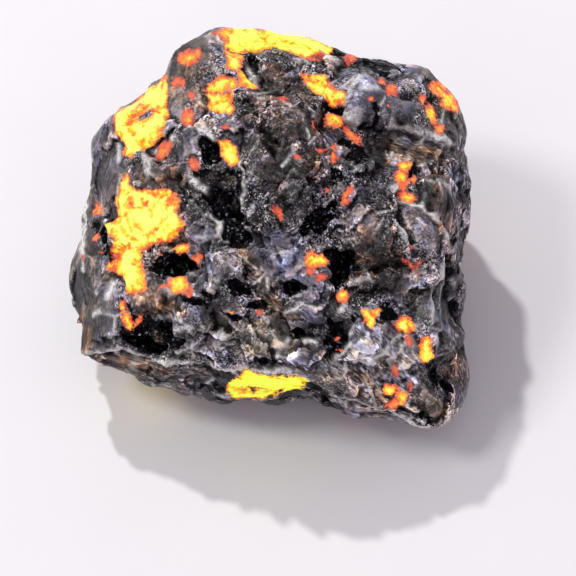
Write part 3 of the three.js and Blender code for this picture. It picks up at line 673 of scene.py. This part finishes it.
wobble = seen + np.stack([0.4 * ragged + 0.9 * crooked, 0.4 * frayed - 0.9 * crooked], 1)
carved = np.zeros(len(places))
for height, slope, shape in BULGES:
    carved += height * steps(patch_distance([shape], wobble), -0.3 * slope, slope)
for drop, line in LEDGES:
    distance = line_distance(line, wobble)
    cliff = 0.5 * steps(-distance, LEDGE_REACH, 0) - steps(distance, 0, 0.35)
    carved += wavering * drop * cliff * (1 - steps(distance, 0.6, LEDGE_REACH))
for depth, width, line in CRACKS:
    carved -= depth * np.exp(-(line_distance(line, wobble) / width) ** 2)
for depth, shape in PITS:
    carved -= depth * steps(oval_distance(shape, wobble), -0.1, 0.7)
relief *= 1 - 0.7 * steps(patch_distance([LOBE], wobble), -0.3, 0.6) * front
relief += carved * front * (1 - 0.7 * at_outline) - 0.25 * minerals["amphibole"]

# The strips below the rim and right of the broad face are split into thin layers, like the hidden sides.
RIGHT_EDGE = [(26.2, -22.2), (24.4, -14.7), (25.6, -7.8), (26.4, -1.2), (25.2, 0.7), (26, 13)]
FOLDED = [(20.6, 9.8), (29, 10.4), (29, 0.6), (25, 0.8), (21.4, 2.8)]
below_rim = steps(line_distance(RIM, seen + (0, 0.5)), 0.1, 0.8)
right_strip = steps(line_distance(RIGHT_EDGE, seen), 0.1, 0.8)
foot = steps(patch_distance([FOOT], wobble), -0.4, 0.5) * front
folds = steps(patch_distance([FOLDED], wobble), -0.4, 0.8) * front
layers_across = lumps(on_face * (0.16, 0.9, 0.9), 0.9, seed=12, octaves=3)
layers_up = lumps(on_face * (1.1, 0.22, 0.9), 0.9, seed=13, octaves=3)
layers = 0.28 * layers_across * below_rim + 0.25 * layers_up * np.maximum(right_strip, 0.5 * hidden)
relief += 0.5 * folds * layers_up + layers * (1 - 0.5 * smooth_skin)

# The foot's point is less broken, and the base stays nearly level. Smoothing takes the stair steps off the
# cliffs.
relief *= 1 - 0.55 * steps(seen[:, 0], 22, 25) * steps(-seen[:, 1], 22, 25)
above_base = steps(places[:, 2], 0.05, 0.8)
places = places + normals * (relief * (0.15 + 0.85 * above_base))[:, None]
places = smoothed(places, edges, 2)
places[:, 2] = np.maximum(places[:, 2], 0)
write_places(stone.data, places)

# The way the rock is drawn out: slanting near the right foot, upright on the flanks, level below the rim.
SLANTED = [
    [(3, -13), (9, -11), (17, -13), (22, -17), (25.6, -27), (20, -28), (11, -23), (4, -21), (-3, -21)],
    (8.6, 15, 4, 1.6, -40), (-1.6, -8, 1, 5, 35),
]
LEVEL = [(20, 11, 8, 2.4), (15, 24, 8, 2)]
slanted = steps(patch_distance(SLANTED) + 0.6 * ragged, -0.8, 0.8) * front
flanks = steps(-on_face[:, 0], 21, 24) * front + steps(lumps(places, 9, seed=28), 0.05, 0.25) * hidden
upright = np.clip(right_strip * front + folds + flanks - foot, 0, 1)
level = below_rim * (facing < 0.75) * front + steps(patch_distance(LEVEL), -0.6, 0.6)
level = np.clip(level - foot, 0, 1)
even = np.maximum.reduce([minerals["cleaved"], minerals["weathered"], 0.75 * upright, 0.75 * level,
                          0.4 * slanted, 0.3 * hidden, 0.8 * foot, 0.7 * blocky])

# How far each point lies below its surroundings, near and wide, in mm.
raised = relief[:, None]
hollow, deep = [(smoothed(raised, edges, rounds) - raised)[:, 0] for rounds in (10, 60)]

painted = {**minerals, "glow": glow, "hotness": heat, "white": white, "iron": iron, "slanted": slanted,
           "upright": upright, "level": level, "even": even, "hollow": hollow, "deep": deep,
           "facet": 0.5 * (big_shade + shade)}
for name, values in painted.items():
    attribute = stone.data.attributes.new(name, "FLOAT", "POINT")
    attribute.data.foreach_set("value", values.astype(np.float32))
attribute = stone.data.attributes.new("on face", "FLOAT_VECTOR", "POINT")
attribute.data.foreach_set("vector", (face_places(places) * MM).astype(np.float32).ravel())

# The hidden sides keep fewer and larger triangles, so that the whole mesh stays under 200,000.
MOST_TRIANGLES = 196000
sparing = stone.vertex_groups.new(name="hidden sides")
sparing.add(np.flatnonzero(facing < -0.05).tolist(), 1.0, "REPLACE")
thinning = stone.modifiers.new("fewer triangles", "DECIMATE")
thinning.ratio = MOST_TRIANGLES / len(stone.data.polygons)
thinning.vertex_group = sparing.name
thinning.vertex_group_factor = 8.0
evaluated = stone.evaluated_get(bpy.context.evaluated_depsgraph_get())
stone.data = bpy.data.meshes.new_from_object(evaluated)
stone.modifiers.clear()
stone.vertex_groups.clear()


# The rock itself. Grey feldspar and nepheline, partly in sugary grains, with black amphibole, rust in the
# joints, and sodalite. Its tone runs in swirls, drawn out one way near the right foot, upright on the
# flanks and level at the rim.
rock, tree = new_material("sodalite syenite")
here = add(tree, "TexCoord").outputs["Object"]
drawn = add(tree, "Attribute", attribute_name="on face").outputs["Vector"]
share = {name: add(tree, "Attribute", attribute_name=name).outputs["Fac"] for name in painted}

laid = drawn
for name, angle, stretch in (("slanted", -38, 3.0), ("upright", 84, 2.0), ("level", -12, 3.0)):
    turned = add(tree, "Mapping", vector_type="TEXTURE", i0=drawn, i2=(0, 0, math.radians(angle)),
                 i3=(stretch, 0.9, 1.0))
    there = add(tree, "Math", operation="GREATER_THAN", i0=share[name], i1=0.5)
    laid = add(tree, "Mix", data_type="VECTOR", i0=there, i4=laid, i5=turned)
swirl = add(tree, "TexNoise", i0=laid, i2=1 / (2.2 * MM), i3=9.0, i4=0.68, Distortion=1.2)
clouds = add(tree, "TexNoise", i0=here, i2=1 / (5 * MM), i3=3.0, i4=0.55)
dust = add(tree, "TexNoise", i0=here, i2=1 / (0.4 * MM), i3=3.0, i4=0.7)

# Crystals, grains, crumbs and specks, with crooked borders. Each cell draws three lots from 0 to 1, as a
# colour.
wander = add(tree, "TexNoise", i0=laid, i2=1 / (0.7 * MM), i3=2.0, i4=0.5)
bent = add(tree, "VectorMath", operation="MULTIPLY_ADD", i0=wander.outputs["Color"], i1=(0.25 * MM,) * 3,
           i2=laid)
cells = {}
lots = {}
for name, width in (("crystal", 1.7), ("grain", 0.75), ("crumb", 0.30), ("speck", 0.18)):
    cells[name] = add(tree, "TexVoronoi", i0=bent, i2=1 / (width * MM)).outputs["Color"]
    lots[name] = add(tree, "SeparateColor", i0=cells[name]).outputs

# How light the rock is. Sugary areas show their grains one by one, and even ones show them half as much.
areas = add(tree, "TexNoise", i0=here, i2=1 / (6 * MM), i3=4.0, i4=0.6)
sugary = add(tree, "MapRange", interpolation_type="SMOOTHSTEP", i0=areas, i1=0.42, i2=0.54, i3=0.25, i4=1.0)
calm = add(tree, "MapRange", i0=share["even"], i3=1.0, i4=0.5)
grainy = -0.33
for part, weight in ((lots["crumb"][0], 0.5), (lots["grain"][0], 0.16)):
    grainy = add(tree, "Math", operation="MULTIPLY_ADD", i0=part, i1=weight, i2=grainy)
uneven = -0.40
for part, weight in ((grainy, sugary), (swirl, 0.45), (clouds, 0.25)):
    uneven = add(tree, "Math", operation="MULTIPLY_ADD", i0=part, i1=weight, i2=uneven)
tone = 0.196
for part, weight in ((uneven, calm), (lots["crystal"][0], 0.2), (share["facet"], 0.38),
                     (share["dark"], -0.16), (share["pale"], 0.09)):
    tone = add(tree, "Math", operation="MULTIPLY_ADD", i0=part, i1=weight, i2=tone)

# The minerals' colours by tone: sugary rock, cleaved feldspar as even blue-grey glass, greasy green-grey
# nepheline, dull weathered skin, and patchy brown rust over whatever it stains.
patchy = add(tree, "MapRange", interpolation_type="SMOOTHSTEP", i0=dust, i1=0.32, i2=0.52)
rusted = add(tree, "Math", operation="MULTIPLY", i0=patchy, i1=share["rusty"])
colour = add(tree, "ValToRGB", i0=tone, stops=[
    (0.26, "#050506"), (0.36, "#1b1b1f"), (0.44, "#3f3e45"), (0.52, "#716e75"), (0.6, "#aaa5aa"),
    (0.72, "#fbf7f8")])
MINERAL_COLOURS = [
    (share["cleaved"], [
        (0.24, "#222327"), (0.4, "#4b4c52"), (0.52, "#717278"), (0.62, "#96979d"), (0.75, "#cfd1d6")]),
    (share["nepheline"], [
        (0.26, "#171817"), (0.4, "#4b4d4b"), (0.52, "#7f817d"), (0.62, "#b4b5b0"), (0.74, "#f4f4ef")]),
    (share["weathered"], [
        (0.26, "#1f1f23"), (0.42, "#454549"), (0.54, "#69686a"), (0.72, "#a3a09e")]),
    (rusted, [
        (0.26, "#0d0a09"), (0.36, "#2b211c"), (0.45, "#483a31"), (0.54, "#766350"), (0.62, "#ab9782"),
        (0.72, "#efe3d4")]),
]
for there, stops in MINERAL_COLOURS:
    mineral = add(tree, "ValToRGB", i0=tone, stops=stops)
    colour = add(tree, "Mix", data_type="RGBA", i0=there, i6=colour, i7=mineral)

# A breath of colour: blue here and yellow there, lilac in some of the feldspar, beige where it is weathered
# and red-brown where iron stains it. Along old joints the iron is golden brown.
film = (1.01, 0.98, 1.0)
for name, tint in (("lilac", (0.98, 0.945, 1.09)), ("beige", (1.2, 1.0, 0.79)),
                   ("red brown", (1.32, 0.91, 0.68))):
    film = add(tree, "Mix", data_type="VECTOR", i0=share[name], i4=film, i5=tint)
tinge = add(tree, "TexNoise", i0=bent, i2=1 / (2.2 * MM), i3=4.0, i4=0.6)
tinge = add(tree, "MapRange", i0=tinge, i1=0.38, i2=0.62)
tinge = add(tree, "Mix", data_type="VECTOR", i0=tinge, i4=(0.85, 0.93, 1.26), i5=(1.17, 0.99, 0.8))
for tint in (film, tinge):
    colour = add(tree, "VectorMath", operation="MULTIPLY", i0=colour, i1=tint)
golden = add(tree, "ValToRGB", i0=tone, stops=[
    (0.28, "#1c0f08"), (0.42, "#5c3a20"), (0.52, "#96683e"), (0.62, "#c89a68"), (0.72, "#f0d0a4")])
iron_stained = add(tree, "Math", operation="MULTIPLY", i0=patchy, i1=share["iron"])
colour = add(tree, "Mix", data_type="RGBA", i0=iron_stained, i6=colour, i7=golden)

# Pale specks, painted as glints, and black specks lie all over the sugary rock, with thin pale crystal edges
# painted as highlights, fewer where it is even or rusty.
specked = sugary
for name, least in (("even", 0.1), ("rusty", 0.3)):
    fewer = add(tree, "MapRange", i0=share[name], i3=1.0, i4=least)
    specked = add(tree, "Math", operation="MULTIPLY", i0=specked, i1=fewer)
loops = add(tree, "TexNoise", i0=bent, i2=1 / (0.8 * MM), i3=1.5, i4=0.6)
loops = add(tree, "Math", operation="SUBTRACT", i0=loops, i1=0.5)
loops = add(tree, "Math", operation="ABSOLUTE", i0=loops)
lit_crystal_edge = add(tree, "MapRange", i0=loops, i1=0.008, i2=0.03, i3=1.3, i4=0.0)
lit_crystal_edge = add(tree, "Math", operation="MULTIPLY", i0=lit_crystal_edge, i1=lots["crystal"][1])
glint_speck = add(tree, "Math", operation="GREATER_THAN", i0=lots["speck"][0], i1=0.93)
glint_speck = add(tree, "Math", operation="MAXIMUM", i0=glint_speck, i1=lit_crystal_edge)
glint_speck = add(tree, "Math", operation="MULTIPLY", i0=glint_speck, i1=specked)
colour = add(tree, "Mix", data_type="RGBA", i0=glint_speck, i6=colour, i7=linear("#c9c3c2"))

# Amphibole: black, with its edge broken up by dust, and stained over along the old joints. Its brightest
# crumbs are painted glints.
black_speck = add(tree, "Math", operation="LESS_THAN", i0=lots["speck"][0], i1=0.14)
black_speck = add(tree, "Math", operation="MULTIPLY", i0=black_speck, i1=specked)
edge = add(tree, "Math", operation="MULTIPLY_ADD", i0=dust, i1=0.9, i2=share["amphibole"])
black = add(tree, "MapRange", interpolation_type="SMOOTHSTEP", i0=edge, i1=0.8, i2=1.0)
black = add(tree, "Math", operation="MAXIMUM", i0=black, i1=black_speck)
unstained = add(tree, "MapRange", i0=iron_stained, i3=1.0, i4=0.0)
black = add(tree, "Math", operation="MULTIPLY", i0=black, i1=unstained)
black_and_glints = add(tree, "ValToRGB", i0=lots["crumb"][2], stops=[
    (0.0, "#030304"), (0.8, "#0b0b0e"), (0.92, "#26272d"), (0.97, "#4c4d55"), (1.0, "#8c8e98")])
colour = add(tree, "Mix", data_type="RGBA", i0=black, i6=colour, i7=black_and_glints)

# Painted shade: hollows and deep places are darker and ridges lighter. Pale lines along edges, ridges and
# veins, some of them painted highlights, are nearly white.
hollow_shade = add(tree, "MapRange", i0=share["hollow"], i1=-0.16, i2=0.16, i3=1.8, i4=0.35)
depth = add(tree, "MapRange", i0=share["deep"], i1=-0.3, i2=0.6, i3=1.25, i4=0.4)
painted_shade = add(tree, "Math", operation="MULTIPLY", i0=hollow_shade, i1=depth)
colour = add(tree, "VectorMath", operation="SCALE", i0=colour, Scale=painted_shade)
crumbling = add(tree, "MapRange", i0=dust, i1=0.3, i2=0.5)
# White lines, some of them painted highlights.
pale_lines = add(tree, "Math", operation="MULTIPLY", i0=crumbling, i1=share["white"])
colour = add(tree, "Mix", data_type="RGBA", i0=pale_lines, i6=colour, i7=linear("#fdfaf8"))

# Sodalite: it glows from a thin dull pink rim, through orange, to a yellow middle, less in hollows, where
# painted shade dims it. In the hottest patches the yellow turns greenish. Under the glow the mineral is dark.
edge = add(tree, "Math", operation="MULTIPLY_ADD", i0=dust, i1=1.3, i2=share["glow"])
inside = add(tree, "MapRange", interpolation_type="SMOOTHSTEP", i0=edge, i1=0.55, i2=0.77)
warmth = add(tree, "MapRange", i0=edge, i1=0.55, i2=1.55)
spots = add(tree, "TexNoise", i0=bent, i2=1 / (1.3 * MM), i3=4.0, i4=0.6)
spots = add(tree, "MapRange", i0=spots, i1=0.34, i2=0.6, i3=0.42, i4=1.45)
glow_shade = add(tree, "MapRange", i0=painted_shade, i1=0.3, i2=1.1, i3=0.5, i4=1.05)
for part in (spots, glow_shade, share["hotness"]):
    warmth = add(tree, "Math", operation="MULTIPLY", i0=warmth, i1=part)
embers = add(tree, "ValToRGB", i0=warmth, stops=[
    (0.0, "#74282c"), (0.1, "#dd5a44"), (0.24, "#f9783a"), (0.38, "#ffa02c"), (0.55, "#fdd02c"),
    (0.72, "#f8ee3c"), (1.0, "#fffd78")])
greenish = add(tree, "MapRange", i0=share["hotness"], i1=1.1, i2=1.5)
embers = add(tree, "Mix", data_type="RGBA", blend_type="MULTIPLY", i0=greenish, i6=embers,
             i7=linear("#eeff90"))
colour = add(tree, "Mix", data_type="RGBA", i0=inside, i6=colour, i7=linear("#3a2a22"))
glowing = add(tree, "Mix", data_type="RGBA", i0=inside, i6=linear("#000000"), i7=embers)

# Shine: smooth crystals and amphibole are glassy, grains less so, and weathered skin is matt. Reflection is
# turned down with the painted shade in hollows, and only a few crumbs of the black crystals glint.
shine = add(tree, "MapRange", i0=lots["crumb"][1], i3=0.28, i4=0.62)
for there, roughness in ((share["cleaved"], 0.26), (share["weathered"], 0.62), (black, 0.22)):
    shine = add(tree, "Mix", i0=there, i2=shine, i3=roughness)
glint = add(tree, "MapRange", i0=lots["crumb"][2], i1=0.8, i2=0.97, i3=0.03, i4=0.55)
reflecting = add(tree, "MapRange", i0=painted_shade, i1=0.3, i2=1.0, i3=0.1, i4=0.5)
reflecting = add(tree, "Mix", i0=black, i2=reflecting, i3=glint)

# Each crystal's, grain's and crumb's own face leans its own way, less so on the smooth ones.
smooth = add(tree, "Math", operation="MAXIMUM", i0=share["even"], i1=inside)
lean = add(tree, "MapRange", i0=smooth, i3=0.85, i4=0.15)
crumb_lean = add(tree, "Math", operation="MULTIPLY", i0=lean, i1=sugary)
bump = add(tree, "Bump", Strength=1.0, Distance=0.35 * MM, Height=swirl)
normal = add(tree, "Bump", Strength=1.0, Distance=0.22 * MM, Height=dust, Normal=bump)
for name, tilt in (("crystal", lean), ("grain", lean), ("crumb", crumb_lean)):
    leaning = add(tree, "VectorMath", operation="SUBTRACT", i0=cells[name], i1=(0.5, 0.5, 0.5))
    leaning = add(tree, "VectorMath", operation="SCALE", i0=leaning, Scale=tilt)
    normal = add(tree, "VectorMath", operation="ADD", i0=normal, i1=leaning)
normal = add(tree, "VectorMath", operation="NORMALIZE", i0=normal)

shader = add(tree, "BsdfPrincipled", Base_Color=colour, Roughness=shine, IOR=1.54,
             Specular_IOR_Level=reflecting, Normal=normal, Emission_Color=glowing, Emission_Strength=1.0)
add(tree, "OutputMaterial", Surface=shader)
stone.data.materials.append(rock)
stone.data.shade_smooth()

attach(stone, "root")
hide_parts("syenite_stone")
